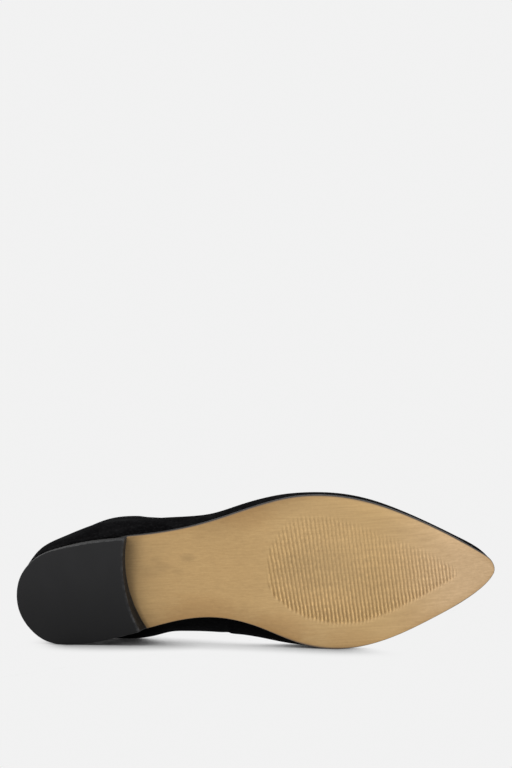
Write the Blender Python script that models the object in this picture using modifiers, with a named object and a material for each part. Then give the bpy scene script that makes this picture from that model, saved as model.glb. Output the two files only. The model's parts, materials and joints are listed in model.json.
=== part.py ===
"""Pointed ballet flat for the right foot, lying on its medial side: outsole, heel, upper and insole.

The shoe is worked out in its own standing frame, in millimetres: x from the heel back to the toe,
y to the medial side, z up from the tread plane. A parent empty then lays it down.
"""

import math
from typing import NamedTuple

import bmesh
import bpy
import numpy as np
from mathutils import Euler, Matrix, Vector

MM = 0.001

# Driving sizes of the last and of the pieces, in millimetres
TOE_TIP = (257.9, 1.5)
HEEL_BACK = (-0.6, 1.8)
HEEL_HEIGHT = 10.0
TOE_SPRING = 9.0
OUTSOLE_THICKNESS = 3.0
INSOLE_THICKNESS = 2.5
WALL = 1.8
GAP = 0.3

# Side view of the tread: the seat ends, the ball lies flat, the toe springs
SEAT_END = 58.0
BALL_START = 166.0
SPRING_START = 196.0

# Opening of the upper
THROAT_X = 180.0
BACK_TOP_X = 5.5
BACK_TOP_Z = 61.0
THROAT_Z = 41.0

# Heel: its edge at the ground, the inset of its top, and the sections it is drawn from before the breast
# is cut
HEEL_EDGE = 0.7
SEAT_INSET = 0.4
HEEL_SECTIONS = 6

# Ground face of the heel: tucked in at the medial side between two places along the shoe, and spread at the
# lateral side, in full this far from the middle, with a bulge that has its place and reach
HEEL_TUCK = 1.5
TUCK_START = 32.0
TUCK_END = 58.0
HEEL_SPREAD = 0.15
SPREAD_FULL = 14.0
SPREAD_BULGE = 0.65
BULGE_X = 19.0
BULGE_REACH = 9.0

# Edge of the outsole, and how far it is drawn in over the heel, back from where the step starts to its end
FACE_INSET = 0.9
EDGE_ROUND = 1.0
SEAT_STEP = 0.9
STEP_START = 60.0
STEP_END = 54.0

# Wall of the upper: its handles run from the quarters' upright wall to the vamp's flat one
FEATHER_INSET = 0.4
VAMP_START = 118.0
VAMP_FULL = 190.0
RISE = 0.42
QUARTER_REACH, VAMP_REACH = 0.30, 0.56
QUARTER_DROP, VAMP_DROP = 0.36, 0.16

# Faces: samples between two sections, rows from the sole up to the topline, points round the breast's
# cutter, and the share of the heel's height by which that cutter passes each end
SAMPLES = 3
WALL_ROWS = 12
DRUM_POINTS = 128
DRUM_OVERRUN = 1.0
NORMAL_STEP = 0.01
SHARP_ANGLE = math.radians(40.0)

# Pose: the shoe lies over its medial side, on the sole's edge and the upper
LIE_LEAN = math.radians(4.624)
LIE_SWING = math.radians(-4.089)


class Section(NamedTuple):
    """One section across the last: half widths to the lateral and medial side, in millimetres."""

    x: float
    sole_lateral: float
    sole_medial: float
    flare_lateral: float
    flare_medial: float
    top_lateral: float
    top_medial: float
    top_z: float


SECTIONS = (
    Section(2.0, 9.9, 13.2, 0.3, 5.0, 9.5, 12.0, 60.6),
    Section(10.0, 18.7, 23.4, 2.9, 5.3, 17.1, 20.5, 59.4),
    Section(22.0, 23.1, 28.2, 5.0, 6.2, 22.4, 25.0, 57.0),
    Section(40.0, 26.2, 28.4, 8.3, 7.2, 29.3, 27.0, 53.0),
    Section(60.0, 27.2, 26.0, 10.6, 16.2, 30.5, 27.5, 48.0),
    Section(82.0, 29.1, 21.1, 10.9, 19.4, 29.3, 27.0, 43.5),
    Section(104.0, 33.4, 19.3, 6.3, 23.6, 29.5, 26.5, 40.5),
    Section(126.0, 39.9, 24.3, 6.7, 21.2, 29.1, 26.0, 39.0),
    Section(147.0, 44.9, 33.7, 5.1, 12.7, 26.7, 25.0, 38.8),
    Section(166.0, 45.5, 38.6, 3.7, 4.1, 22.8, 22.4, 39.2),
    Section(185.0, 42.2, 37.9, 4.3, 3.8, 17.8, 18.6, 40.0),
    Section(204.0, 35.4, 32.7, 4.3, 4.6, 12.7, 14.5, 40.5),
    Section(222.0, 26.4, 25.4, 4.0, 4.5, 8.5, 10.7, 40.8),
    Section(238.0, 16.9, 18.2, 5.1, 3.7, 4.8, 7.2, 41.0),
    Section(250.0, 8.6, 11.2, 6.8, 3.0, 1.6, 4.0, 41.0),
    Section(256.0, 3.6, 5.8, 2.3, 2.2, -0.2, 2.2, 41.0),
)
TOE_FLARE = 2.5
HEEL_FLARE = 5.9
THROAT_Y = 1.0
LOOP = 2 * len(SECTIONS) + 2


class Breast(NamedTuple):
    """Arc of the heel's breast at one height: the point that lies furthest back, and the radius."""

    x: float
    y: float
    radius: float


GROUND_BREAST = Breast(56.9, -10.0, 87.0)
SEAT_BREAST = Breast(58.0, -11.0, 73.0)


def smoothstep(start, end, x):
    """0 before start, 1 after end, and a smooth rise between them."""
    share = np.clip((x - start) / (end - start), 0.0, 1.0)
    return share * share * (3.0 - 2.0 * share)


def tread_height(x):
    """Height of the outsole's underside above the tread plane: seat, waist, flat ball and toe spring."""
    seat = HEEL_HEIGHT * (1.0 - smoothstep(SEAT_END, BALL_START, x))
    spring = np.clip((x - SPRING_START) / (TOE_TIP[0] - SPRING_START), 0.0, None)
    return seat + TOE_SPRING * spring**2


def around(heel, lateral, toe, medial):
    """Values in the order of a closed loop: heel back, lateral side forwards, toe, medial side back."""
    return np.array([heel, *lateral, toe, *reversed(medial)], float)


def closed_spline(knots, where):
    """Smooth closed curve through the knots, one knot to each unit of the parameter."""
    count = len(knots)
    system = 4.0 * np.eye(count) + np.roll(np.eye(count), 1, 0) + np.roll(np.eye(count), -1, 0)
    second = np.roll(knots, -1, 0) - 2.0 * knots + np.roll(knots, 1, 0)
    bends = np.linalg.solve(system, 6.0 * second)
    first = np.floor(where).astype(int) % count
    after = (first + 1) % count
    share = where - np.floor(where)
    rest = 1.0 - share
    line = rest * knots[first] + share * knots[after]
    return line + (rest**3 - rest) / 6.0 * bends[first] + (share**3 - share) / 6.0 * bends[after]


def loop_values(heel, lateral_name, toe, medial_name, where, sign=1.0):
    """One column of the section table, read along the loop, its lateral values times the sign."""
    lateral = [sign * getattr(section, lateral_name) for section in SECTIONS]
    medial = [getattr(section, medial_name) for section in SECTIONS]
    return closed_spline(around(heel, lateral, toe, medial), where)


def loop_places():
    """Parameters of the samples round the loop: 0 is the heel back, half way round is the toe."""
    return np.arange(LOOP * SAMPLES) / SAMPLES


def sole_outline(where):
    """Plan of the outsole's widest line, and its outward normals."""
    x = loop_values(HEEL_BACK[0], "x", TOE_TIP[0], "x", where)
    y = loop_values(HEEL_BACK[1], "sole_lateral", TOE_TIP[1], "sole_medial", where, -1.0)
    ahead = where + NORMAL_STEP
    along_x = loop_values(HEEL_BACK[0], "x", TOE_TIP[0], "x", ahead) - x
    along_y = loop_values(HEEL_BACK[1], "sole_lateral", TOE_TIP[1], "sole_medial", ahead, -1.0) - y
    length = np.hypot(along_x, along_y)
    return np.stack([x, y], 1), np.stack([along_y, -along_x], 1) / length[:, None]


def lift(plan, height):
    """Plan points with their heights."""
    return np.column_stack([plan, height])


def wall_point(where, rise):
    """Outer face of the upper: a cubic from the feather line (rise 0) to the topline (rise 1).

    The lower handle stands over the feather line, out by the flare. The upper handle lies below the
    topline, drawn out towards the feather line: little on the quarters, far on the vamp.
    """
    outline, normal = sole_outline(where)
    foot = outline - FEATHER_INSET * normal
    foot_z = tread_height(foot[:, 0]) + OUTSOLE_THICKNESS + GAP
    flare = loop_values(HEEL_FLARE, "flare_lateral", TOE_FLARE, "flare_medial", where)
    reach = np.clip(outline[:, 0] / TOE_TIP[0], 0.0, 1.0)
    top_x = BACK_TOP_X + (THROAT_X - BACK_TOP_X) * np.sin(0.5 * math.pi * reach)
    top_y = loop_values(HEEL_BACK[1], "top_lateral", THROAT_Y, "top_medial", where, -1.0)
    top_z = loop_values(BACK_TOP_Z, "top_z", THROAT_Z, "top_z", where)
    top = np.stack([top_x, top_y], 1)
    height = top_z - foot_z
    vamp = smoothstep(VAMP_START, VAMP_FULL, outline[:, 0])
    draw = QUARTER_REACH + (VAMP_REACH - QUARTER_REACH) * vamp
    drop = QUARTER_DROP + (VAMP_DROP - QUARTER_DROP) * vamp
    controls = (
        lift(foot, foot_z),
        lift(foot + flare[:, None] * normal, foot_z + RISE * height),
        lift(top + draw[:, None] * (foot - top), top_z - drop * height),
        lift(top, top_z),
    )
    weights = ((1 - rise) ** 3, 3 * rise * (1 - rise) ** 2, 3 * rise**2 * (1 - rise), rise**3)
    return sum(weight * control for weight, control in zip(weights, controls))


def mesh_object(name, points, faces, material):
    """Named object from points in millimetres, with its faces turned outwards."""
    mesh = bpy.data.meshes.new(name)
    mesh.from_pydata([tuple(point * MM) for point in points], [], faces)
    shape = bmesh.new()
    shape.from_mesh(mesh)
    bmesh.ops.recalc_face_normals(shape, faces=shape.faces)
    shape.to_mesh(mesh)
    shape.free()
    mesh.shade_smooth()
    mesh.set_sharp_from_angle(angle=SHARP_ANGLE)
    mesh.materials.append(material)
    obj = bpy.data.objects.new(name, mesh)
    return obj


def bridge(first, second, count):
    """Quads between two closed rings of count points, which start at these indices."""
    quads = []
    for i in range(count):
        j = (i + 1) % count
        quads.append((first + i, first + j, second + j, second + i))
    return quads


def cap(start, count):
    """Strips across a ring, from each lateral point to the medial point at the same section."""
    half = count // 2
    faces = [(start, start + 1, start + count - 1)]
    for i in range(1, (count - 1) // 2):
        faces.append((start + i, start + i + 1, start + count - i - 1, start + count - i))
    if count % 2 == 0:
        faces.append((start + half - 1, start + half, start + half + 1))
    return faces


def layered_solid(name, rings, material):
    """Closed solid from rings stacked from bottom to top, with a cap across the first and the last."""
    count = len(rings[0])
    faces = cap(0, count)
    for level in range(len(rings) - 1):
        faces += bridge(level * count, (level + 1) * count, count)
    faces += cap((len(rings) - 1) * count, count)
    return mesh_object(name, np.concatenate(rings), faces, material)


def finish(name, colour, roughness):
    """Principled material of one piece."""
    material = bpy.data.materials.new(name)
    material.use_nodes = True
    shader = material.node_tree.nodes["Principled BSDF"]
    shader.inputs["Base Color"].default_value = (*colour, 1.0)
    shader.inputs["Roughness"].default_value = roughness
    shader.inputs["Metallic"].default_value = 0.0
    return material


def make_outsole():
    """Thin sole along the tread, its underside a little inside the widest line, narrower over the heel."""
    outline, normal = sole_outline(loop_places())
    outline -= SEAT_STEP * smoothstep(STEP_START, STEP_END, outline[:, :1]) * normal
    levels = ((FACE_INSET, 0.0), (0.0, EDGE_ROUND), (0.0, OUTSOLE_THICKNESS - GAP), (GAP, OUTSOLE_THICKNESS))
    rings = []
    for inset, height in levels:
        plan = outline - inset * normal
        rings.append(lift(plan, tread_height(plan[:, 0]) + height))
    return layered_solid("outsole", rings, finish("tan_resin", (0.50, 0.35, 0.18), 0.5))


def make_breast_drum(material):
    """Cutter in front of the heel: its back passes through the breast's two arcs and on past both."""
    turn = np.linspace(0.0, 2.0 * math.pi, DRUM_POINTS, endpoint=False)
    rings = []
    for share in (-DRUM_OVERRUN, 1.0 + DRUM_OVERRUN):
        x, y, radius = np.array(GROUND_BREAST) * (1.0 - share) + np.array(SEAT_BREAST) * share
        plan = np.stack([x + radius * (1.0 - np.cos(turn)), y + radius * np.sin(turn)], 1)
        rings.append(lift(plan, np.full(len(plan), share * HEEL_HEIGHT)))
    return layered_solid("breast_drum", rings, material)


def ground_shift(plan):
    """Shift of the heel's ground points to the lateral side: the medial tuck, the spread and its bulge."""
    x, y = plan.T
    tuck = HEEL_TUCK * smoothstep(TUCK_START, TUCK_END, x) * (y > 0.0)
    bulge = SPREAD_BULGE * np.exp(-(((x - BULGE_X) / BULGE_REACH) ** 2))
    return tuck + (HEEL_SPREAD + bulge) * smoothstep(0.0, SPREAD_FULL, -y)


def make_heel():
    """Low block under the seat, and the drum that cuts its breast."""
    where = loop_places()
    rear = HEEL_SECTIONS * SAMPLES
    where = np.concatenate([where[: rear + 1], where[-rear:]])
    outline, normal = sole_outline(where)
    rings = []
    for inset, height in ((HEEL_EDGE, 0.0), (0.0, HEEL_EDGE)):
        plan = outline - inset * normal
        plan[:, 1] -= ground_shift(plan)
        rings.append(lift(plan, np.full(len(plan), height)))
    top = outline - SEAT_INSET * normal
    rings.append(lift(top, tread_height(top[:, 0]) - GAP))
    rubber = finish("black_rubber", (0.020, 0.020, 0.021), 0.7)
    heel = layered_solid("heel", rings, rubber)
    cutter = make_breast_drum(rubber)
    cut = heel.modifiers.new("breast", "BOOLEAN")
    cut.operation = "DIFFERENCE"
    cut.solver = "EXACT"
    cut.object = cutter
    return heel, cutter


def make_upper():
    """Hollow wall from the feather line to the topline, open below and at the collar."""
    where = loop_places()
    count = len(where)
    rows = [wall_point(where, rise) for rise in np.linspace(0.0, 1.0, WALL_ROWS + 1)]
    faces = []
    for level in range(WALL_ROWS):
        faces += bridge(level * count, (level + 1) * count, count)
    suede = finish("black_suede", (0.012, 0.012, 0.013), 0.9)
    upper = mesh_object("upper", np.concatenate(rows), faces, suede)
    shell = upper.modifiers.new("wall", "SOLIDIFY")
    shell.thickness = WALL * MM
    shell.offset = -1.0
    shell.use_even_offset = True
    return upper


def make_insole():
    """Footbed between the walls, on the outsole."""
    outline, normal = sole_outline(loop_places())
    inset = FEATHER_INSET + WALL + GAP
    rings = []
    for height in (GAP, INSOLE_THICKNESS):
        plan = outline - inset * normal
        rings.append(lift(plan, tread_height(plan[:, 0]) + OUTSOLE_THICKNESS + height))
    return layered_solid("insole", rings, finish("sock_leather", (0.42, 0.29, 0.17), 0.6))


def clear_scene():
    """Removes whatever the scene holds."""
    for obj in list(bpy.data.objects):
        bpy.data.objects.remove(obj)


def collect(name, objects, carrier):
    """New collection of these objects, all carried by the parent empty."""
    shelf = bpy.data.collections.new(name)
    bpy.context.scene.collection.children.link(shelf)
    for obj in objects:
        shelf.objects.link(obj)
        obj.parent = carrier
    return shelf


def lay_down(carrier, objects):
    """Turns the carrier so that the shoe lies on its medial side, its box over the origin."""
    turn = Euler((math.radians(-90.0) + LIE_LEAN, LIE_SWING, 0.0), "XYZ").to_matrix().to_4x4()
    carrier.matrix_world = turn
    bpy.context.view_layer.update()
    graph = bpy.context.evaluated_depsgraph_get()
    corners = []
    for obj in objects:
        mesh = obj.evaluated_get(graph).to_mesh()
        corners += [obj.matrix_world @ vertex.co for vertex in mesh.vertices]
    low = Vector([min(point[axis] for point in corners) for axis in range(3)])
    high = Vector([max(point[axis] for point in corners) for axis in range(3)])
    middle = (low + high) / 2.0
    carrier.matrix_world = Matrix.Translation((-middle.x, -middle.y, -low.z)) @ turn
    bpy.context.view_layer.update()


def main():
    clear_scene()
    carrier = bpy.data.objects.new("shoe_axis", None)
    bpy.context.scene.collection.objects.link(carrier)
    heel, cutter = make_heel()
    pieces = [make_outsole(), heel, make_upper(), make_insole()]
    collect("ballet_flat", pieces, carrier)
    collect("cutters", [cutter], carrier)
    cutter.hide_render = True
    cutter.display_type = "WIRE"
    lay_down(carrier, pieces)


main()
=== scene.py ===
"""Looks of the pointed ballet flat: tan sole, black heel block, suede upper, lining and sock."""

import json
import math
from typing import NamedTuple

import bmesh
import bpy
import numpy as np
from mathutils import Matrix, Vector


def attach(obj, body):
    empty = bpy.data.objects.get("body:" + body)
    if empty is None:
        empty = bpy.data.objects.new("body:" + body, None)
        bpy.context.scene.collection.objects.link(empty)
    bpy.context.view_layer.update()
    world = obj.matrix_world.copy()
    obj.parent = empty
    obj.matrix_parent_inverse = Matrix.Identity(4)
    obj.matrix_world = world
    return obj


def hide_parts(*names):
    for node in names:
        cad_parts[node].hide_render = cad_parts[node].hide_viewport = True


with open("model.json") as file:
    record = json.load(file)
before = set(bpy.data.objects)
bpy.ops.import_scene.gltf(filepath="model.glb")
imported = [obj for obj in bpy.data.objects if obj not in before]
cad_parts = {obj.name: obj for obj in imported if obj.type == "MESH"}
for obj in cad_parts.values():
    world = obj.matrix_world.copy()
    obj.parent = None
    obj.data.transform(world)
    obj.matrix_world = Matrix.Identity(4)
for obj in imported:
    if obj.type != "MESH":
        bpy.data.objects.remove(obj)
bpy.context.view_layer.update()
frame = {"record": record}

# Sizes of the shoe in its standing frame, in millimetres: x to the toe, y to the medial side, z up
TOE_TIP = (257.9, 1.5)
HEEL_BACK = (-0.6, 1.8)
HEEL_HEIGHT = 10.0
TOE_SPRING = 9.0
OUTSOLE_THICKNESS = 3.0
INSOLE_THICKNESS = 2.5
GAP = 0.3
SEAT_END = 58.0
BALL_START = 166.0
SPRING_START = 196.0
THROAT_X = 180.0
THROAT_Y = 1.0
THROAT_Z = 41.0
BACK_TOP_X = 5.5
BACK_TOP_Z = 61.0
FACE_INSET = 0.5
EDGE_ROUND = 0.8
SEAT_STEP = 0.9
STEP_START = 60.0
STEP_END = 54.0
FEATHER_INSET = 0.4
VAMP_START = 118.0
VAMP_FULL = 190.0
RISE = 0.42
QUARTER_REACH, VAMP_REACH = 0.30, 0.56
QUARTER_DROP, VAMP_DROP = 0.36, 0.16
TOE_FLARE = 2.5
HEEL_FLARE = 5.9

# Heel: rounding of its ground edge, inset of its top under the sole's edge, tuck of its ground face at the
# medial side and between which places, and spread at the lateral side with its bulge, place and reach
HEEL_EDGE = 0.3
SEAT_INSET = 0.4
HEEL_TUCK = 1.5
TUCK_START = 32.0
TUCK_END = 58.0
HEEL_SPREAD = 0.15
SPREAD_FULL = 14.0
SPREAD_BULGE = 0.65
BULGE_X = 19.0
BULGE_REACH = 9.0

# Edge paint of the sole: its share from the face to the top, and its laps over the face, with the places
# between which the lateral one comes in and fades out
EDGE_PAINT = (0.0, 0.12, 0.35, 0.65, 0.9, 1.0, 1.0, 1.0)
BALL_LAP = 0.45
TOE_LAP = 0.18
LATERAL_LAP = 0.24
LAP_START = (55.0, 75.0)
LAP_END = (238.0, 250.0)

# Layers of the upper, from its outer face inwards, the gap between lining and sock, the rounding of the
# sock's edge and the depth of its seat for the heel
SUEDE_THICKNESS = 1.05
LINING_START = 1.12
LINING_THICKNESS = 0.68
SOCK_GAP = 0.1
SOCK_ROUND = 0.8
SOCK_CUP = 0.9

# Places on the tread that the record's mounts give, in the standing frame
HEEL_TREAD = (30.0, 1.5, 0.0)
BALL_TREAD = (181.0, -2.0, 0.0)

# Ribs of the forepart: first rib, pitch, length over which they gain one rib, depth of the grooves, power
# that narrows them, the level that parts the painted shade of the grooves from the painted highlight of the
# ribs, lean across the sole, its growth to the back, fades at both edges, and where the last ribs start to
# fade
RIB_START = 135.9
RIB_PITCH = 2.114
RIB_CROWDING = 83.0
RIB_DEPTH = 0.70
GROOVE_POWER = 1.5
GROOVE_LEVEL = 0.60
RIB_LEAN = 0.0785
RIB_FAN = 0.05
RIB_FADE = (5.0, 1.6)
RIB_END = 232.0

# Side seam on the medial quarter with its lean, and the end of the heel counter under the suede: its place
# and step at the lateral side, and the hollow in front of it at the medial side
SEAM_X = 110.5
SEAM_LEAN = 10.0
COUNTER_END = 59.0
COUNTER_STEP = 0.5
HOLLOW_X = 76.5
HOLLOW_DEPTH = 0.8
HOLLOW_REACH = 7.5

# Steps of the meshes: along the sole behind, in and before the ribs, across the sole and round edges, and
# the shrinking rings of the heel's flat faces
SEAT_STEPS, RIB_STEPS, TOE_STEPS = 72, 430, 40
ACROSS_STEPS = 80
EDGE_STEPS = 6
DISC_RINGS = (1.0, 0.98, 0.95, 0.85, 0.65, 0.4, 0.2, 0.0)

# Camera, in the row frame
CAMERA_PLACE = (-0.0032, -1.0002, 0.1656)
CAMERA_DOWN = math.radians(1.372)
CAMERA_TURN = math.radians(-0.098)
CAMERA_ROLL = math.radians(0.990)
CAMERA_LENS = 85.0

# Light: even surroundings, the key, its way and its spread
SURROUND = 0.885
KEY_STRENGTH = 2.2
KEY_WAY = (0.60, 0.62, -0.50)
KEY_SPREAD = math.radians(60.0)


class Outlook(NamedTuple):
    """One way in which the floor looks for the shoe: facing, reach in metres, dark and bright openness."""

    way: tuple
    reach: float
    dark: float
    bright: float


HEEL_SIDE = Outlook((-0.889, 0.242, 0.390), 0.033, 0.37, 0.94)
TOE_SIDE = Outlook((0.361, 0.932, 0.035), 0.061, 0.49, 0.76)
OUTLOOK_SAMPLES = 32

# Floor: share of the light that its shadow's core loses, from which to which depth, and reach in metres
CORE_LOSS = 0.92
CORE_START, CORE_FULL = 0.70, 0.94
FLOOR_REACH = 40.0


class Section(NamedTuple):
    """One section across the last: half widths to the lateral and medial side, in millimetres."""

    x: float
    sole_lateral: float
    sole_medial: float
    flare_lateral: float
    flare_medial: float
    top_lateral: float
    top_medial: float
    top_z: float


SECTIONS = (
    Section(2.0, 9.9, 13.2, 0.3, 5.0, 9.5, 12.0, 60.6),
    Section(10.0, 18.7, 23.4, 2.9, 5.3, 17.1, 20.5, 59.4),
    Section(22.0, 23.1, 28.2, 5.0, 6.2, 22.4, 25.0, 57.0),
    Section(40.0, 26.2, 28.4, 8.3, 7.2, 29.3, 27.0, 53.0),
    Section(60.0, 27.2, 26.0, 10.6, 16.2, 30.5, 27.5, 48.0),
    Section(82.0, 29.1, 21.1, 10.9, 19.4, 29.3, 27.0, 43.5),
    Section(104.0, 33.4, 19.3, 6.3, 23.6, 29.5, 26.5, 40.5),
    Section(126.0, 39.9, 24.3, 6.7, 21.2, 29.1, 26.0, 39.0),
    Section(147.0, 44.9, 33.7, 5.1, 12.7, 26.7, 25.0, 38.8),
    Section(166.0, 45.5, 38.6, 3.7, 4.1, 22.8, 22.4, 39.2),
    Section(185.0, 42.2, 37.9, 4.3, 3.8, 17.8, 18.6, 40.0),
    Section(204.0, 35.4, 32.7, 4.3, 4.6, 12.7, 14.5, 40.5),
    Section(222.0, 26.4, 25.4, 4.0, 4.5, 8.5, 10.7, 40.8),
    Section(238.0, 16.9, 18.2, 5.1, 3.7, 4.8, 7.2, 41.0),
    Section(250.0, 8.6, 11.2, 6.8, 3.0, 1.6, 4.0, 41.0),
    Section(256.0, 3.6, 5.8, 2.3, 2.2, -0.2, 2.2, 41.0),
)
LOOP = 2 * len(SECTIONS) + 2
RIB_SECTIONS = (8.0, 15.0)


class RibRow(NamedTuple):
    """Reach of the rib field to both sides, at one place along the sole, in millimetres."""

    x: float
    lateral: float
    medial: float


class WornPatch(NamedTuple):
    """Place where the ribs are worn down: centre and reach along and across the sole, and worn share."""

    x: float
    y: float
    long: float
    wide: float
    share: float


WORN_RIBS = (WornPatch(170.0, -10.0, 17.0, 15.0, 0.50), WornPatch(193.0, -14.0, 22.0, 12.0, 0.30))
RIB_FIELD = (
    RibRow(133.5, 10.0, 0.0),
    RibRow(137.0, 21.0, 9.0),
    RibRow(145.0, 31.5, 16.0),
    RibRow(154.0, 36.0, 21.5),
    RibRow(169.0, 35.5, 25.8),
    RibRow(184.0, 30.5, 25.8),
    RibRow(198.0, 24.0, 21.5),
    RibRow(219.0, 14.5, 12.5),
    RibRow(239.0, 1.5, 3.0),
)


class Breast(NamedTuple):
    """Hollow front of the heel at one level: the arc's rearmost point and its radius, in millimetres."""

    x: float
    y: float
    radius: float


GROUND_BREAST = Breast(57.2, -10.0, 80.0)
SEAT_BREAST = Breast(58.3, -11.0, 68.0)


class Spot(NamedTuple):
    """A soft spot on the sole, longer than wide: its place and size in millimetres, and its strength."""

    x: float
    y: float
    size: float
    depth: float


SMUDGES = (
    Spot(75.2, -13.3, 1.8, 0.10),
    Spot(77.9, -9.4, 2.4, 0.11),
    Spot(91.9, -14.1, 2.2, 0.14),
    Spot(86.5, -6.5, 1.8, 0.08),
    Spot(70.5, -7.5, 3.5, 0.07),
    Spot(76.0, -19.5, 4.5, 0.05),
    Spot(160.0, -6.5, 12.0, 0.10),
    Spot(187.0, 4.0, 9.0, 0.05),
)
BURNISH = (
    Spot(97.0, 16.5, 10.0, 0.45),
    Spot(137.5, 28.0, 10.0, 0.50),
    Spot(126.0, -36.5, 8.0, 0.30),
    Spot(178.0, 36.0, 8.0, 0.35),
    Spot(215.0, 25.0, 8.0, 0.20),
)


def standing_to_row(record):
    """Turn and shift from the standing frame in millimetres to the row frame in metres.

    The line between the two tread points gives the first axis, the mount's axis turned round gives the
    third, and their cross product gives the second. The turn takes the standing axes to these.
    """
    mounts = {mount["name"]: mount for mount in record["mounts"]}
    heel = np.array(mounts["heel_tread"]["pos_m"])
    ball = np.array(mounts["ball_tread"]["pos_m"])
    up = -np.array(mounts["heel_tread"]["axis"])

    def triad(first, third):
        first = first / np.linalg.norm(first)
        second = np.cross(third, first)
        second /= np.linalg.norm(second)
        return np.column_stack([first, second, np.cross(first, second)])

    here = triad(np.subtract(BALL_TREAD, HEEL_TREAD), np.array([0.0, 0.0, 1.0]))
    turn = triad(ball - heel, up) @ here.T
    return turn, heel - turn @ np.array(HEEL_TREAD) / 1000.0


TURN, SHIFT = standing_to_row(frame["record"])


def to_row(points):
    """Points of the standing frame, in millimetres, in the row frame."""
    return points / 1000.0 @ TURN.T + SHIFT


# Forms of the last


def smoothstep(start, end, x):
    """0 before start, 1 after end, and a smooth rise between them."""
    share = np.clip((x - start) / (end - start), 0.0, 1.0)
    return share * share * (3.0 - 2.0 * share)


def bump(centre, width, x):
    """Bell of height 1 round a centre: e to the minus square of the distance in widths."""
    return np.exp(-(((x - centre) / width) ** 2))


def tread_height(x):
    """Height of the sole's underside: seat, S-shaped waist, flat ball and a square rise to the toe."""
    seat = HEEL_HEIGHT * (1.0 - smoothstep(SEAT_END, BALL_START, x))
    spring = np.clip((x - SPRING_START) / (TOE_TIP[0] - SPRING_START), 0.0, None)
    return seat + TOE_SPRING * spring**2


def closed_spline(knots, where):
    """Periodic cubic spline through the knots, one knot to each unit of the parameter."""
    count = len(knots)
    system = 4.0 * np.eye(count) + np.roll(np.eye(count), 1, 0) + np.roll(np.eye(count), -1, 0)
    second = np.roll(knots, -1, 0) - 2.0 * knots + np.roll(knots, 1, 0)
    bends = np.linalg.solve(system, 6.0 * second)
    first = np.floor(where).astype(int) % count
    after = (first + 1) % count
    share = where - np.floor(where)
    rest = 1.0 - share
    line = rest * knots[first] + share * knots[after]
    return line + (rest**3 - rest) / 6.0 * bends[first] + (share**3 - share) / 6.0 * bends[after]


def loop_values(heel, lateral_name, toe, medial_name, where, sign=1.0):
    """One column of the section table along the loop: heel back, lateral side, toe, medial side."""
    lateral = [sign * getattr(section, lateral_name) for section in SECTIONS]
    medial = [getattr(section, medial_name) for section in SECTIONS]
    knots = np.array([heel, *lateral, toe, *reversed(medial)])
    return closed_spline(knots, where)


def sole_outline(where):
    """Plan of the sole's widest line, and its outward normals: the tangent turned by a quarter."""
    step = 0.01
    x, ahead_x = (loop_values(HEEL_BACK[0], "x", TOE_TIP[0], "x", at) for at in (where, where + step))
    y, ahead_y = (
        loop_values(HEEL_BACK[1], "sole_lateral", TOE_TIP[1], "sole_medial", at, -1.0)
        for at in (where, where + step)
    )
    along_x, along_y = ahead_x - x, ahead_y - y
    length = np.hypot(along_x, along_y)
    return np.stack([x, y], -1), np.stack([along_y / length, -along_x / length], -1)


def lift(plan, height):
    """Plan points with their heights."""
    return np.concatenate([plan, np.broadcast_to(height, plan.shape[:-1])[..., None]], -1)


def wall_point(where, rise):
    """Outer face of the upper on a grid: a cubic from the feather line (rise 0) to the topline (rise 1).

    The lower handle stands over the feather line, out by the flare. The upper handle lies below the
    topline, drawn out towards the feather line: little on the quarters, far on the vamp.
    """
    outline, normal = sole_outline(where)
    foot = outline - FEATHER_INSET * normal
    foot_z = tread_height(foot[:, 0]) + OUTSOLE_THICKNESS + GAP
    flare = loop_values(HEEL_FLARE, "flare_lateral", TOE_FLARE, "flare_medial", where)
    reach = np.clip(outline[:, 0] / TOE_TIP[0], 0.0, 1.0)
    top_x = BACK_TOP_X + (THROAT_X - BACK_TOP_X) * np.sin(0.5 * math.pi * reach)
    top_y = loop_values(HEEL_BACK[1], "top_lateral", THROAT_Y, "top_medial", where, -1.0)
    top_z = loop_values(BACK_TOP_Z, "top_z", THROAT_Z, "top_z", where)
    top = np.stack([top_x, top_y], 1)
    height = top_z - foot_z
    vamp = smoothstep(VAMP_START, VAMP_FULL, outline[:, 0])
    draw = QUARTER_REACH + (VAMP_REACH - QUARTER_REACH) * vamp
    drop = QUARTER_DROP + (VAMP_DROP - QUARTER_DROP) * vamp
    controls = (
        lift(foot, foot_z),
        lift(foot + flare[:, None] * normal, foot_z + RISE * height),
        lift(top + draw[:, None] * (foot - top), top_z - drop * height),
        lift(top, top_z),
    )
    rise = np.asarray(rise)[:, None, None]
    weights = ((1 - rise) ** 3, 3 * rise * (1 - rise) ** 2, 3 * rise**2 * (1 - rise), rise**3)
    return sum(weight * control for weight, control in zip(weights, controls))


def grid_normals(points):
    """Outward unit normals of a grid that closes along its columns: cross product of its two slopes."""
    along = np.roll(points, -1, 1) - np.roll(points, 1, 1)
    up = np.gradient(points, axis=0)
    normal = np.cross(along, up)
    return normal / np.linalg.norm(normal, axis=-1, keepdims=True)


# Meshes


def grid_faces(index, close_rows, close_columns):
    """Quads of a grid of point indices, or of many such grids, wrapped round where a direction closes."""
    if close_rows:
        index = np.concatenate([index, index[..., :1, :]], -2)
    if close_columns:
        index = np.concatenate([index, index[..., :1]], -1)
    corners = (index[..., :-1, :-1], index[..., :-1, 1:], index[..., 1:, 1:], index[..., 1:, :-1])
    return np.stack(corners, -1).reshape(-1, 4)


class Patch(NamedTuple):
    """A grid of points in the standing frame or many such grids, its closed ways, and values it carries."""

    points: np.ndarray
    close_rows: bool = False
    close_columns: bool = False
    values: dict = {}


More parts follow.
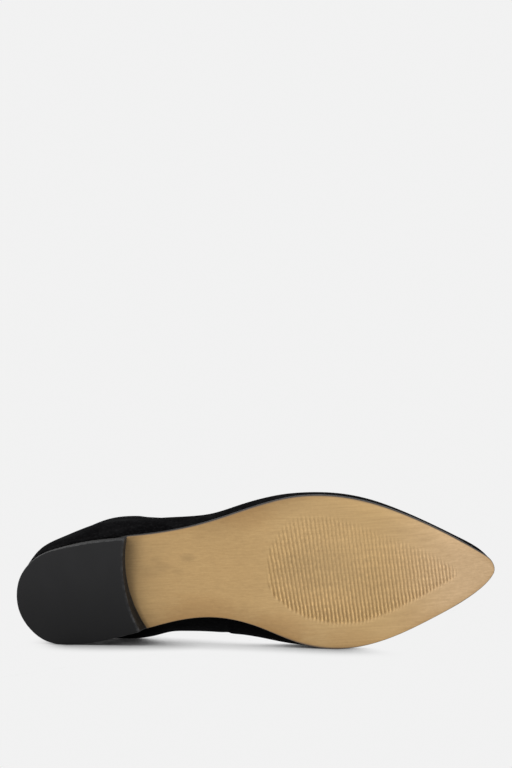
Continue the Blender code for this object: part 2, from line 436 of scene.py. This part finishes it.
def make_piece(name, patches, material, node=None):
    """One closed mesh from its patches, welded where they meet, with the standing place as attribute."""
    points, faces, first = [], [], 0
    for patch in patches:
        shape = patch.points.shape[:-1]
        index = first + np.arange(math.prod(shape)).reshape(shape)
        faces.append(grid_faces(index, patch.close_rows, patch.close_columns))
        points.append(patch.points.reshape(-1, 3))
        first += index.size
    points = np.concatenate(points)
    mesh = bpy.data.meshes.new(name)
    mesh.from_pydata(to_row(points), [], np.concatenate(faces))
    mesh.attributes.new("last", "FLOAT_VECTOR", "POINT").data.foreach_set("vector", points.ravel())
    for key in sorted({key for patch in patches for key in patch.values}):
        parts = [
            np.broadcast_to(patch.values.get(key, 0.0), patch.points.shape[:-1]).ravel() for patch in patches
        ]
        mesh.attributes.new(key, "FLOAT", "POINT").data.foreach_set("value", np.concatenate(parts))
    shape = bmesh.new()
    shape.from_mesh(mesh)
    bmesh.ops.remove_doubles(shape, verts=shape.verts, dist=1e-6)
    bmesh.ops.recalc_face_normals(shape, faces=shape.faces)
    shape.to_mesh(mesh)
    shape.free()
    mesh.shade_smooth()
    mesh.materials.append(material)
    piece = bpy.data.objects.new(name, mesh)
    bpy.context.scene.collection.objects.link(piece)
    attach(piece, "root")
    if node:
        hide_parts(node)
    return piece


# Shader values


class Value:
    """A shader socket that takes part in Python arithmetic: each operator adds one Math node."""

    def __init__(self, finish, socket):
        self.finish = finish
        self.socket = socket

    def math(self, operation, first, second=0.0):
        return self.finish.node("ShaderNodeMath", {"operation": operation}, {0: first, 1: second})

    def __add__(self, other):
        return self.math("ADD", self, other)

    def __radd__(self, other):
        return self.math("ADD", other, self)

    def __sub__(self, other):
        return self.math("SUBTRACT", self, other)

    def __rsub__(self, other):
        return self.math("SUBTRACT", other, self)

    def __mul__(self, other):
        return self.math("MULTIPLY", self, other)

    def __rmul__(self, other):
        return self.math("MULTIPLY", other, self)

    def __truediv__(self, other):
        return self.math("DIVIDE", self, other)

    def rise(self, start, end):
        """Smooth step of the value from 0 at start to 1 at end."""
        settings = {"interpolation_type": "SMOOTHSTEP"}
        return self.finish.node("ShaderNodeMapRange", settings, {0: self, 1: start, 2: end})


class Finish:
    """One material: its node tree, its Principled shader and the values that its pieces carry."""

    def __init__(self, name, **constants):
        self.material = bpy.data.materials.new(name)
        self.material.use_nodes = True
        self.tree = self.material.node_tree
        self.shader = self.tree.nodes["Principled BSDF"]
        for name, constant in constants.items():
            socket = name.replace("_", " ").title().replace("Ior", "IOR")
            self.shader.inputs[socket].default_value = constant

    def node(self, kind, settings=None, sockets=None, output=0):
        """Adds a node, sets it, fills or links its sockets and returns one of its outputs."""
        made = self.tree.nodes.new(kind)
        for key, setting in (settings or {}).items():
            setattr(made, key, setting)
        for place, value in (sockets or {}).items():
            if isinstance(value, Value):
                self.tree.links.new(value.socket, made.inputs[place])
            else:
                made.inputs[place].default_value = value
        return Value(self, made.outputs[output])

    def feed(self, socket, value):
        """Links a value to one of the shader's sockets."""
        self.tree.links.new(value.socket, self.shader.inputs[socket])

    def carried(self, name, output="Fac"):
        """A value that the piece's mesh carries."""
        return self.node("ShaderNodeAttribute", {"attribute_name": name}, output=output)

    def place(self, stretch=(1.0, 1.0, 1.0)):
        """Standing place on the last in millimetres, stretched along its axes."""
        last = self.carried("last", "Vector")
        return self.node("ShaderNodeVectorMath", {"operation": "MULTIPLY"}, {0: last, 1: stretch})

    def along(self, axis):
        """One coordinate of the standing place."""
        return self.node("ShaderNodeSeparateXYZ", sockets={0: self.carried("last", "Vector")}, output=axis)

    def noise(self, where, size, detail=2.0, roughness=0.5):
        """Noise round 0.5 whose patches measure about this size."""
        sockets = {"Vector": where, "Scale": 1.0 / size, "Detail": detail, "Roughness": roughness}
        return self.node("ShaderNodeTexNoise", sockets=sockets)

    def mix(self, share, first, second):
        """Colour between two colours."""
        settings = {"data_type": "RGBA"}
        return self.node("ShaderNodeMix", settings, {0: share, 6: first, 7: second}, output=2)

    def shade(self, colour, value):
        """Colour times a value."""
        first = colour if isinstance(colour, Value) else colour[:3]
        return self.node("ShaderNodeVectorMath", {"operation": "SCALE"}, {0: first, "Scale": value})

    def relief(self, height, distance, under=None):
        """Normal from a height, whose unit stands this many metres high, over another normal."""
        sockets = {"Height": height, "Distance": distance, "Strength": 1.0}
        if under:
            sockets["Normal"] = under
        return self.node("ShaderNodeBump", sockets=sockets)


def rgb(red, green, blue):
    """Linear colour with full alpha."""
    return (red, green, blue, 1.0)


WAIST_TAN = rgb(0.367, 0.241, 0.103)
FOREPART_TAN = rgb(0.417, 0.280, 0.127)
TOE_TAN = rgb(0.527, 0.369, 0.213)
BURNT_TAN = rgb(0.300, 0.172, 0.062)


def spot_strength(finish, spots):
    """Summed strength of soft spots: each falls smoothly from its ragged middle, and is longer along x."""
    ragged = finish.noise(finish.place((0.35, 1.0, 1.0)), 2.6, 3.0, 0.6) * 2.4 - 1.2
    x, y = finish.along(0), finish.along(1)
    total = 0.0
    for spot in spots:
        off_x = (x - spot.x) / (1.7 * spot.size) + 0.6 * ragged
        off_y = (y - spot.y) / spot.size + 0.5 * ragged
        far = off_x * off_x + off_y * off_y
        total = total + spot.depth * (1.0 - far.rise(0.0, 1.9))
    return total


def tan_resin():
    """Satin tan sole: streaks along the shoe, soft clouds, smudges, burnished rim and painted edge, with
    painted shade by the heel and in the grooves and a painted highlight on the ribs.
    """
    finish = Finish("tan_resin", specular_ior_level=0.28)
    x, y = finish.along(0), finish.along(1)
    clouds = finish.noise(finish.place((0.6, 1.0, 1.0)), 20.0, 3.0)
    streaks = finish.noise(finish.place((0.03, 1.0, 1.0)), 0.9, 3.0, 0.65)
    hair = finish.noise(finish.place((0.06, 1.0, 1.0)), 0.36, 2.0)
    speckle = finish.noise(finish.place(), 1.6, 2.0)
    rim = finish.carried("rim")
    tone = 0.66 + 0.10 * clouds + 0.24 * streaks + 0.20 * hair + 0.14 * speckle
    broken = finish.noise(finish.place((1.0, 0.3, 1.0)), 0.6, 2.0, 0.6).rise(0.3, 0.7)
    # Painted shade in the rib grooves and painted highlight on the rib crests, from the signed groove value,
    # broken up by noise.
    tone = tone * (1.0 - 0.44 * broken * finish.carried("groove")) * (1.0 - spot_strength(finish, SMUDGES))
    tone = tone * (1.0 + 0.16 * (broken - 0.5) * finish.carried("field").rise(0.0, 0.5))
    breast = finish.carried("breast")
    # Painted shade in front of the heel's breast: wide at the lateral side, narrow at the medial side.
    painted_breast_shade = 1.0 - (breast / (12.0 - 9.3 * y.rise(-25.0, 15.0))).rise(0.0, 1.0)
    narrow = (1.0 - y.rise(-10.0, 5.0)) * (1.0 - x.rise(80.0, 115.0))
    roll = (1.0 - rim.rise(0.0, 14.0)) * (1.0 - x.rise(138.0, 172.0)) * (1.0 - narrow)
    tone = tone * (1.0 - 0.42 * painted_breast_shade) * (1.0 - 0.14 * roll)
    forepart = finish.mix(x.rise(118.0, 155.0), WAIST_TAN, FOREPART_TAN)
    toe = finish.mix(x.rise(190.0, 245.0), forepart, TOE_TAN)
    bare = x.rise(155.0, 200.0) * (1.0 - y.rise(-20.0, 0.0))
    rub = 0.5 * (1.0 - streaks) + 0.22 * (1.0 - rim.rise(0.0, 4.0)) * (1.0 - bare) + 0.19 * roll
    tone = tone * (1.0 + 0.11 * bare * (1.0 - rim.rise(1.0, 9.0)))
    rub = rub + 0.75 * spot_strength(finish, BURNISH) * (0.4 + streaks)
    face = finish.shade(finish.mix(rub, toe, BURNT_TAN), tone)
    # Behind the breast the edge paint is full, and over the heel it is near black: real edge ink, darkened as
    # painted shade of the gap under the upper.
    paint = finish.carried("paint") + (1.0 - breast.rise(-1.0, 0.0))
    edge_tone = 0.75 + 0.5 * finish.noise(finish.place((0.2, 0.2, 1.0)), 0.8, 2.0)
    black = finish.mix(x.rise(55.0, 75.0), rgb(0.004, 0.004, 0.004), rgb(0.016, 0.014, 0.013))
    rubbed = finish.mix(paint.rise(0.0, 0.5), face, rgb(0.110, 0.078, 0.055))
    finish.feed("Base Color", finish.mix(paint.rise(0.3, 0.95), rubbed, finish.shade(black, edge_tone)))
    finish.feed("Roughness", 0.44 + 0.22 * streaks)
    bumps = finish.relief(streaks * 0.7 + hair * 0.3, 0.00007)
    finish.feed("Normal", finish.relief(speckle, 0.00005, under=bumps))
    return finish.material


def black_rubber():
    """Matte black heel: fine moulded grain, faint smears, painted shade to the medial side, and edges and
    breast lighter by rubbed wear and painted highlights.
    """
    finish = Finish("black_rubber", specular_ior_level=0.16)
    grain = finish.noise(finish.place(), 0.35, 3.0, 0.6)
    smears = finish.noise(finish.place((1.0, 0.5, 1.0)), 11.0, 3.0)
    scuffs = finish.noise(finish.place(), 2.6, 3.0, 0.6).rise(0.38, 0.68)
    # The carried share lightens the heel: rubbed wear on the edges, plus a painted highlight on the rounded
    # ground edge and painted light on the breast face.
    rubbed = finish.carried("rubbed") * (0.15 + 0.75 * scuffs)
    # Painted shade: the base colour darkens towards the medial side.
    shade = finish.along(1).rise(-30.0, 32.0)
    dark = finish.mix(shade, rgb(0.0125, 0.0125, 0.0132), rgb(0.0040, 0.0040, 0.0043))
    dark = finish.shade(dark, 0.85 + 0.3 * smears)
    finish.feed("Base Color", finish.mix(rubbed, dark, rgb(0.075, 0.075, 0.076)))
    finish.feed("Roughness", 0.50 + 0.20 * grain)
    finish.feed("Normal", finish.relief(grain, 0.00007))
    return finish.material


def black_suede():
    """Black suede: short nap in brushed patches and tufts, with a soft sheen and no gloss, and painted shade
    to the medial side.
    """
    finish = Finish(
        "black_suede",
        specular_ior_level=0.0,
        sheen_weight=0.012,
        sheen_roughness=0.45,
        sheen_tint=rgb(0.85, 0.86, 0.90),
    )
    nap = finish.noise(finish.place(), 0.30, 3.0, 0.7)
    brushed = finish.noise(finish.place((0.45, 1.0, 0.8)), 11.0, 4.0, 0.6)
    tufts = finish.noise(finish.place((0.7, 1.0, 1.0)), 1.1, 2.0)
    fibres = finish.noise(finish.place((0.35, 1.0, 1.0)), 0.55, 2.0)
    light = (brushed.rise(0.40, 0.72) * 0.6 + tufts.rise(0.45, 0.75) * 0.5) * (0.5 + fibres)
    black = finish.mix(light, rgb(0.0022, 0.0021, 0.0023), rgb(0.0100, 0.0100, 0.0105))
    # Painted shade: the suede darkens towards the medial side.
    finish.feed("Base Color", finish.shade(black, 1.0 - 0.6 * finish.along(1).rise(-6.0, 14.0)))
    finish.feed("Roughness", 0.86 + 0.14 * nap)
    deep = finish.relief(brushed * 0.8 + tufts * 0.2, 0.00040)
    finish.feed("Normal", finish.relief(nap * 0.7 + fibres * 0.3, 0.00022, under=deep))
    return finish.material


def sock_leather(name, colour):
    """Smooth lining leather: fine pores, slow change of tone."""
    finish = Finish(name, specular_ior_level=0.30)
    cells = {"Vector": finish.place(), "Scale": 1.25, "Randomness": 1.0}
    pores = finish.node("ShaderNodeTexVoronoi", {"feature": "F1"}, cells)
    clouds = finish.noise(finish.place(), 22.0, 3.0)
    fine = finish.noise(finish.place(), 0.5, 2.0)
    tone = 0.84 + 0.22 * clouds + 0.10 * fine
    finish.feed("Base Color", finish.shade(colour, tone))
    finish.feed("Roughness", 0.50 + 0.16 * clouds)
    finish.feed("Normal", finish.relief(pores.rise(0.0, 0.45) * 0.8 + fine * 0.2, 0.00008))
    return finish.material


def thread_black():
    """Waxed black thread."""
    finish = Finish("black_thread", specular_ior_level=0.2)
    twist = finish.noise(finish.place(), 0.25, 1.0)
    finish.feed("Base Color", finish.shade(rgb(0.010, 0.010, 0.011), 0.7 + 0.6 * twist))
    finish.feed("Roughness", 0.55 + 0.2 * twist)
    finish.feed("Normal", finish.relief(twist, 0.0001))
    return finish.material


# Pieces


def rib_grooves(x, y):
    """Shape of the grooves between the ribs, from 0 to 1, and their strength over the field.

    The ribs count from the first one by x less a lean times y, in pitches, and come closer to the toe by a
    cubic term. The lean grows to the back, and two sine waves make the ribs wobble. Each groove is half a
    cosine wave raised to a power, so the ribs stay broader than it.
    The strength grows from the lateral to the medial side, fades out at the edge of the field, and is
    worn down in the middle of the ball.
    """
    table = np.array(RIB_FIELD)
    lateral = np.interp(x, table[:, 0], table[:, 1])
    medial = np.interp(x, table[:, 0], table[:, 2])
    lean = RIB_LEAN + RIB_FAN * (1.0 - smoothstep(135.0, 168.0, x))
    wobble = 0.05 * np.sin(y / 1.7 + x / 2.9) + 0.04 * np.sin(y / 1.1 - x / 3.7)
    along = x - RIB_START - lean * y + wobble
    count = along / RIB_PITCH + (along / RIB_CROWDING) ** 3
    groove = (0.5 - 0.5 * np.cos(2.0 * math.pi * count)) ** GROOVE_POWER
    inside = smoothstep(0.0, RIB_FADE[0], y + lateral) * smoothstep(0.0, RIB_FADE[1], medial - y)
    ends = smoothstep(table[0, 0], table[1, 0], x) * (1.0 - smoothstep(RIB_END, table[-1, 0], x))
    share = (y + lateral) / (lateral + medial)
    grown = 0.65 + 0.35 * smoothstep(0.10, 0.35, share) + 0.65 * smoothstep(0.70, 1.0, share)
    worn = sum(spot.share * bump(spot.x, spot.long, x) * bump(spot.y, spot.wide, y) for spot in WORN_RIBS)
    return groove, grown * inside * ends * (1.0 - worn)


def breast_line(breast, y):
    """x of the breast's arc: its rearmost x, plus the radius less the root of radius² less offset²."""
    return breast.x + breast.radius - np.sqrt(breast.radius**2 - (y - breast.y) ** 2)


def before_breast(points):
    """Distance of points in front of the breast's arc at the seat, along the shoe."""
    return points[..., 0] - breast_line(SEAT_BREAST, points[..., 1])


def lapped_paint(points):
    """Edge paint that laps over the face: two bells on the medial side, an even lap on the lateral side."""
    x, y = points[..., 0], points[..., 1]
    medial = BALL_LAP * bump(160.0, 22.0, x) + TOE_LAP * bump(240.0, 9.0, x)
    lateral = LATERAL_LAP * smoothstep(*LAP_START, x) * (1.0 - smoothstep(*LAP_END, x))
    return np.where(y > 0.0, medial, lateral)


def make_outsole(material):
    """Sole: tread grid with its ribs, a rounded edge carried round the outline, and the top face."""
    back, front = RIB_SECTIONS
    half = np.concatenate(
        [
            np.linspace(0.0, back, SEAT_STEPS, endpoint=False),
            np.linspace(back, front, RIB_STEPS, endpoint=False),
            np.linspace(front, LOOP / 2.0, TOE_STEPS),
        ]
    )
    ring = np.concatenate([half, LOOP - half[-2:0:-1]])
    outline, normal = sole_outline(ring)
    outline = outline - SEAT_STEP * smoothstep(STEP_START, STEP_END, outline[:, :1]) * normal
    turn = np.linspace(0.0, 0.5 * math.pi, EDGE_STEPS)
    side = [(FACE_INSET * (1.0 - math.sin(a)), EDGE_ROUND * (1.0 - math.cos(a))) for a in turn]
    side += [(0.0, OUTSOLE_THICKNESS - GAP), (GAP, OUTSOLE_THICKNESS)]
    rings = []
    for inset, height in side:
        plan = outline - inset * normal
        rings.append(lift(plan, tread_height(plan[:, 0]) + height))
    rings = np.stack(rings)
    count = len(half)
    across = np.linspace(0.0, 1.0, ACROSS_STEPS)[:, None, None]

    def strip(level, across):
        """Grid between the lateral and the medial half of one ring."""
        lateral = rings[level, :count]
        medial = rings[level, np.r_[0, len(ring) - 1 : count - 1 : -1, count - 1]]
        return lateral + across * (medial - lateral)

    tread = strip(0, across)
    width = np.linalg.norm(tread[-1] - tread[0], axis=-1)
    rim = np.minimum(across[..., 0], 1.0 - across[..., 0]) * width
    groove, strength = rib_grooves(tread[..., 0], tread[..., 1])
    tread[..., 2] = tread_height(tread[..., 0]) + RIB_DEPTH * groove * strength
    # Signed share for the tan's painted shade in the grooves and painted highlight on the rib crests.
    relief = (groove - GROOVE_LEVEL) * strength
    paint = np.minimum(1.0, np.array(EDGE_PAINT)[:, None] + lapped_paint(rings))
    border = np.isin(np.arange(len(tread)), (0, len(tread) - 1))[:, None]
    face = {"rim": rim, "groove": relief, "field": strength, "breast": before_breast(tread)}
    patches = [
        Patch(tread, values={**face, "paint": lapped_paint(tread) * border}),
        Patch(rings, close_columns=True, values={"paint": paint, "breast": before_breast(rings)}),
        Patch(strip(-1, across[[0, -1]])),
    ]
    return make_piece("tan_sole", patches, material, "outsole")


def even_line(points, count):
    """Points at even steps of the length of a polyline."""
    length = np.concatenate([[0.0], np.cumsum(np.linalg.norm(np.diff(points, axis=0), axis=1))])
    at = np.linspace(0.0, length[-1], count)
    return np.stack([np.interp(at, length, points[:, axis]) for axis in (0, 1)], 1)


def heel_plan(breast, ground, inset):
    """Plan of the heel at one level: the sole's outline behind the breast, then the breast's arc.

    The outline is drawn in by the inset. As the ground's share, its medial side is tucked in more and more
    towards the breast, and its lateral side is spread out, most in a bulge near the back. A running mean
    of five points rounds the two corners.
    """
    side = np.linspace(-6.0, 6.0, 1600)
    outline, normal = sole_outline(side % LOOP)
    outline = outline - inset * normal
    x, y = outline.T
    tuck = HEEL_TUCK * smoothstep(TUCK_START, TUCK_END, x) * (y > 0.0)
    spread = (HEEL_SPREAD + SPREAD_BULGE * bump(BULGE_X, BULGE_REACH, x)) * smoothstep(0.0, SPREAD_FULL, -y)
    outline[:, 1] -= ground * (tuck + spread)
    behind = outline[:, 0] < breast_line(breast, outline[:, 1]) - inset
    rear = even_line(outline[behind], 300)
    across = np.linspace(rear[-1, 1], rear[0, 1], 132)[1:-1]
    arc = np.stack([breast_line(breast, across) - inset, across], 1)
    loop = np.concatenate([rear, arc])
    return sum(np.roll(loop, step, 0) for step in range(-2, 3)) / 5.0


def make_heel(material):
    """Heel block: rounded ground edge, sides that lean to the seat's plan, ground face and hidden top."""
    ground, seat = heel_plan(GROUND_BREAST, 1.0, 0.0), heel_plan(SEAT_BREAST, 0.0, SEAT_INSET)
    rings, rubbed = [], []
    for angle in np.linspace(0.0, 0.5 * math.pi, EDGE_STEPS):
        inset, height = HEEL_EDGE * (1.0 - math.sin(angle)), HEEL_EDGE * (1.0 - math.cos(angle))
        rings.append(lift(heel_plan(GROUND_BREAST, 1.0, inset), height))
        # Rubbed wear and a painted highlight on the rounding, highest half way round.
        rubbed.append(math.sin(2.0 * angle))
    for share in np.linspace(0.0, 1.0, 8)[1:]:
        plan = ground + share * (seat - ground)
        rings.append(lift(plan, HEEL_EDGE + share * (tread_height(plan[:, 0]) - HEEL_EDGE)))
        rubbed.append(0.0)
    rings = np.stack(rings)
    middle = np.array(HEEL_TREAD)
    inward = np.array(DISC_RINGS)[:, None, None]
    face = middle + inward * (rings[0] - middle)
    # Along the breast's ground edge, more to the medial side: rubbed wear with a painted highlight.
    front = 1.0 - smoothstep(0.0, 1.2, breast_line(GROUND_BREAST, ground[:, 1]) - ground[:, 0])
    worn = front * (0.22 + 0.58 * smoothstep(8.0, 20.0, ground[:, 1]))
    fading = np.r_[np.ones(EDGE_STEPS), 0.35, 0.25, np.full(5, 0.2)]
    rubbed = np.maximum(np.array(rubbed)[:, None], worn * fading[:, None])
    # Painted light on the breast face, towards its lateral side.
    rubbed[EDGE_STEPS:] += 0.25 * front * (1.0 - smoothstep(5.0, 18.0, ground[:, 1]))
    centre = middle + [0.0, 0.0, HEEL_HEIGHT]
    top = centre + inward * (rings[-1] - centre)
    patches = [
        Patch(rings, close_columns=True, values={"rubbed": rubbed}),
        Patch(face, close_columns=True, values={"rubbed": worn * np.r_[1.0, 0.6, np.zeros(6)][:, None]}),
        Patch(top, close_columns=True),
    ]
    return make_piece("heel_block", patches, material, "heel")


def upper_places():
    """Parameters round the upper, closer at the side seam, at the counter's end and at the back seam."""
    even = np.linspace(0.0, LOOP, 340, endpoint=False)
    seam = LOOP - (7.0 + (SEAM_X - 104.0) / 22.0) + np.linspace(-0.34, 0.08, 43)
    counter = 5.0 + (COUNTER_END - 60.0) / 22.0 + np.linspace(-0.25, 0.25, 15)
    back = np.linspace(-0.12, 0.12, 13) % LOOP
    return np.unique(np.concatenate([even, seam, counter, LOOP - counter, back]).round(5))


def upper_surface(where, rise):
    """Outer face of the suede: the wall, plus the counter's end, the side seam and soft unevenness.

    The counter's end is a smooth step at the lateral side and a bell-shaped hollow at the medial side. The
    seam leans with the height: a bell-shaped trough and a shallow hollow behind it, and a lap before it.
    """
    wall = wall_point(where, rise)
    normal = grid_normals(wall)
    x = np.broadcast_to(sole_outline(where)[0][:, 0], wall.shape[:2])
    medial = np.broadcast_to((where > LOOP / 2.0), wall.shape[:2])
    height = np.asarray(rise)[:, None]
    body = smoothstep(0.02, 0.25, height)
    counter = smoothstep(5.0, 45.0, x) * (1.0 - smoothstep(COUNTER_END - 3.5, COUNTER_END + 3.5, x))
    counter = body * np.where(medial, -HOLLOW_DEPTH * bump(HOLLOW_X, HOLLOW_REACH, x), COUNTER_STEP * counter)
    off = x - SEAM_X - SEAM_LEAN * height
    lap = smoothstep(-0.6, 0.4, off) * (1.0 - smoothstep(1.0, 9.0, off))
    seam = medial * (0.22 * lap - 0.14 * bump(0.0, 0.7, off) - 0.30 * bump(-1.5, 3.0, off))
    wave = 0.04 * np.sin(x / 7.0 + 5.0 * height) + 0.03 * np.sin(x / 4.3 - 8.0 * height + 1.0)
    uneven = wave * body * (1.0 - smoothstep(0.8, 1.0, height))
    return wall + (counter + seam + uneven)[..., None] * normal


def shell(outer, start, thickness, rim_steps):
    """Closed wall from an outer grid: two faces along its normals, a round rim above and a flat one below."""
    normal = grid_normals(outer)
    rise = np.gradient(outer, axis=0)[-1]
    rise /= np.linalg.norm(rise, axis=-1, keepdims=True)
    face = outer - start * normal
    inner = outer - (start + thickness) * normal
    middle = 0.5 * (face[-1] + inner[-1])
    turns = np.linspace(0.0, math.pi, rim_steps)[1:-1, None, None]
    rim = middle + 0.5 * thickness * (np.cos(turns) * normal[-1] + np.sin(turns) * rise)
    return np.concatenate([face, rim, inner[::-1]])


def make_upper(suede, lining):
    """Suede outside and lining inside, each a closed wall that follows the last."""
    where = upper_places()
    rise = np.sin(np.linspace(0.0, 0.5 * math.pi, 46)) ** 1.1
    outer = upper_surface(where, rise)
    suede_wall = Patch(shell(outer, 0.0, SUEDE_THICKNESS, 8), close_rows=True, close_columns=True)
    make_piece("suede_upper", [suede_wall], suede, "upper")
    inside = upper_surface(where, np.linspace(0.015, 0.985, 34))
    lining_wall = Patch(shell(inside, LINING_START, LINING_THICKNESS, 5), close_rows=True, close_columns=True)
    make_piece("lining", [lining_wall], lining)
    return outer


def plan_at(points, height):
    """Plan of a grid of rising points where its columns reach these heights: linear between its rows."""
    share = np.clip((height - points[:-1, :, 2]) / np.diff(points[..., 2], axis=0), 0.0, 1.0)
    return points[0, :, :2] + (share[..., None] * np.diff(points[..., :2], axis=0)).sum(0)


def make_sock(material):
    """Sock on the footbed: it reaches to the lining, with a rounded edge and a shallow seat for the heel."""
    half = np.linspace(0.0, LOOP / 2.0, 120)
    ring = np.concatenate([half, LOOP - half[-2:0:-1]])
    outline, normal = sole_outline(ring)
    wall = upper_surface(ring, np.linspace(0.0, 0.16, 12))
    inside = wall - (LINING_START + LINING_THICKNESS + SOCK_GAP) * grid_normals(wall)
    ground = tread_height(outline[:, 0]) + OUTSOLE_THICKNESS + GAP
    depth = INSOLE_THICKNESS - GAP
    turn = np.linspace(0.0, 0.5 * math.pi, EDGE_STEPS)
    levels = [(0.0, 0.0)]
    levels += [(SOCK_ROUND * (1 - math.cos(a)), depth - SOCK_ROUND * (1 - math.sin(a))) for a in turn]
    rings = np.stack(
        [lift(plan_at(inside, ground + height) - inset * normal, ground + height) for inset, height in levels]
    )
    count = len(half)
    mirror = np.r_[0, len(ring) - 1 : count - 1 : -1, count - 1]
    across = np.linspace(0.0, 1.0, 40)[:, None, None]
    top = rings[-1, :count] + across * (rings[-1, mirror] - rings[-1, :count])
    top[..., 2] -= SOCK_CUP * bump(32.0, 26.0, top[..., 0]) * np.sin(math.pi * across[..., 0]) ** 2
    bottom = rings[0, :count] + across[[0, -1]] * (rings[0, mirror] - rings[0, :count])
    patches = [Patch(rings, close_columns=True), Patch(top), Patch(bottom)]
    return make_piece("sock", patches, material, "insole")


def make_topline_stitches(outer, material):
    """Row of stitches below the topline: capsules laid along the wall, sunk to half their thickness."""
    down, long, thick, pitch = 2.4, 2.0, 0.42, 3.1
    normal = grid_normals(outer)
    depth = np.linalg.norm(np.diff(outer, axis=0), axis=-1)
    below = np.cumsum(depth[::-1], axis=0)[::-1]
    level = np.argmin(np.abs(below - down), axis=0)
    column = np.arange(outer.shape[1])
    path, out = outer[level, column], normal[level, column]
    step = np.linalg.norm(np.roll(path, -1, 0) - path, axis=1)
    length = np.concatenate([[0.0], np.cumsum(step)])
    count = int(length[-1] / pitch)
    at = np.linspace(0.0, length[-1], count, endpoint=False)

    def along(values):
        closed = np.concatenate([values, values[:1]])
        return np.stack([np.interp(at, length, closed[:, axis]) for axis in range(3)], 1)

    place, facing = along(path), along(out)
    facing /= np.linalg.norm(facing, axis=1, keepdims=True)
    ahead = np.roll(place, -1, 0) - np.roll(place, 1, 0)
    ahead /= np.linalg.norm(ahead, axis=1, keepdims=True)
    aside = np.cross(facing, ahead)
    ring = np.linspace(0.0, 2.0 * math.pi, 6, endpoint=False)
    rows = np.linspace(-1.0, 1.0, 6)
    girth = np.sqrt(np.clip(1.0 - rows**4, 0.0, None)) * 0.5 * thick
    shape = np.stack(
        [
            np.broadcast_to(rows[:, None] * long / 2.0, (6, 6)),
            girth[:, None] * np.cos(ring),
            girth[:, None] * np.sin(ring),
        ],
        -1,
    )
    axes = np.stack([ahead, aside, facing], 1)
    stitches = place[:, None, None] + np.einsum("rck,nkj->nrcj", shape, axes)
    return make_piece("topline_stitches", [Patch(stitches, close_columns=True)], material)


# Stage


def make_floor():
    """Plain pale floor, a square sheet to the horizon, that glows evenly.

    It dims where the shoe hides both of its sides: by the product of the two hidden shares, each of which
    falls in a smooth step from 1 to 0 with the openness to that side. The darkest core is dimmed further.
    """
    finish = Finish("pale_floor", specular_ior_level=0.0, roughness=1.0, emission_strength=SURROUND)
    finish.shader.inputs["Base Color"].default_value = rgb(0.0, 0.0, 0.0)

    def hidden(outlook):
        facing = finish.node("ShaderNodeCombineXYZ", sockets=dict(enumerate(outlook.way)))
        settings = {"samples": OUTLOOK_SAMPLES}
        sockets = {"Distance": outlook.reach, "Normal": facing}
        openness = finish.node("ShaderNodeAmbientOcclusion", settings, sockets, output="AO")
        return 1.0 - openness.rise(outlook.dark, outlook.bright)

    shadow = hidden(HEEL_SIDE) * hidden(TOE_SIDE)
    light = (1.0 - shadow) * (1.0 - CORE_LOSS * shadow.rise(CORE_START, CORE_FULL))
    finish.feed("Emission Color", finish.shade(rgb(1.0, 1.0, 1.0), light))
    corners = [(x * FLOOR_REACH, y * FLOOR_REACH, 0.0) for x, y in ((-1, -1), (1, -1), (1, 1), (-1, 1))]
    mesh = bpy.data.meshes.new("floor")
    mesh.from_pydata(corners, [], [(0, 1, 2, 3)])
    mesh.materials.append(finish.material)
    floor = bpy.data.objects.new("floor", mesh)
    bpy.context.scene.collection.objects.link(floor)


def make_light():
    """Even white surroundings and one wide soft key from above, a little to the heel's side."""
    world = bpy.data.worlds.new("surroundings")
    world.use_nodes = True
    world.node_tree.nodes["Background"].inputs["Color"].default_value = rgb(1.0, 1.0, 1.0)
    world.node_tree.nodes["Background"].inputs["Strength"].default_value = SURROUND
    bpy.context.scene.world = world
    key = bpy.data.lights.new("key", "SUN")
    key.energy = KEY_STRENGTH
    key.angle = KEY_SPREAD
    lamp = bpy.data.objects.new("key", key)
    lamp.rotation_mode = "QUATERNION"
    lamp.rotation_quaternion = Vector(KEY_WAY).to_track_quat("-Z", "Y")
    bpy.context.scene.collection.objects.link(lamp)


def make_camera():
    """Camera nearly level in front of the sole, turned by its azimuth, tilted down and rolled."""
    data = bpy.data.cameras.new("camera")
    data.lens = CAMERA_LENS
    camera = bpy.data.objects.new("camera", data)
    turn = Matrix.Rotation(CAMERA_TURN, 4, "Z") @ Matrix.Rotation(math.radians(90.0) - CAMERA_DOWN, 4, "X")
    camera.matrix_world = Matrix.Translation(CAMERA_PLACE) @ turn @ Matrix.Rotation(CAMERA_ROLL, 4, "Z")
    bpy.context.scene.collection.objects.link(camera)
    bpy.context.scene.camera = camera


def main():
    bpy.context.scene.view_settings.view_transform = "Standard"
    make_camera()
    make_light()
    make_floor()
    make_outsole(tan_resin())
    make_heel(black_rubber())
    outer = make_upper(black_suede(), sock_leather("lining_leather", rgb(0.40, 0.28, 0.17)))
    make_sock(sock_leather("sock_leather", rgb(0.44, 0.31, 0.19)))
    make_topline_stitches(outer, thread_black())


main()
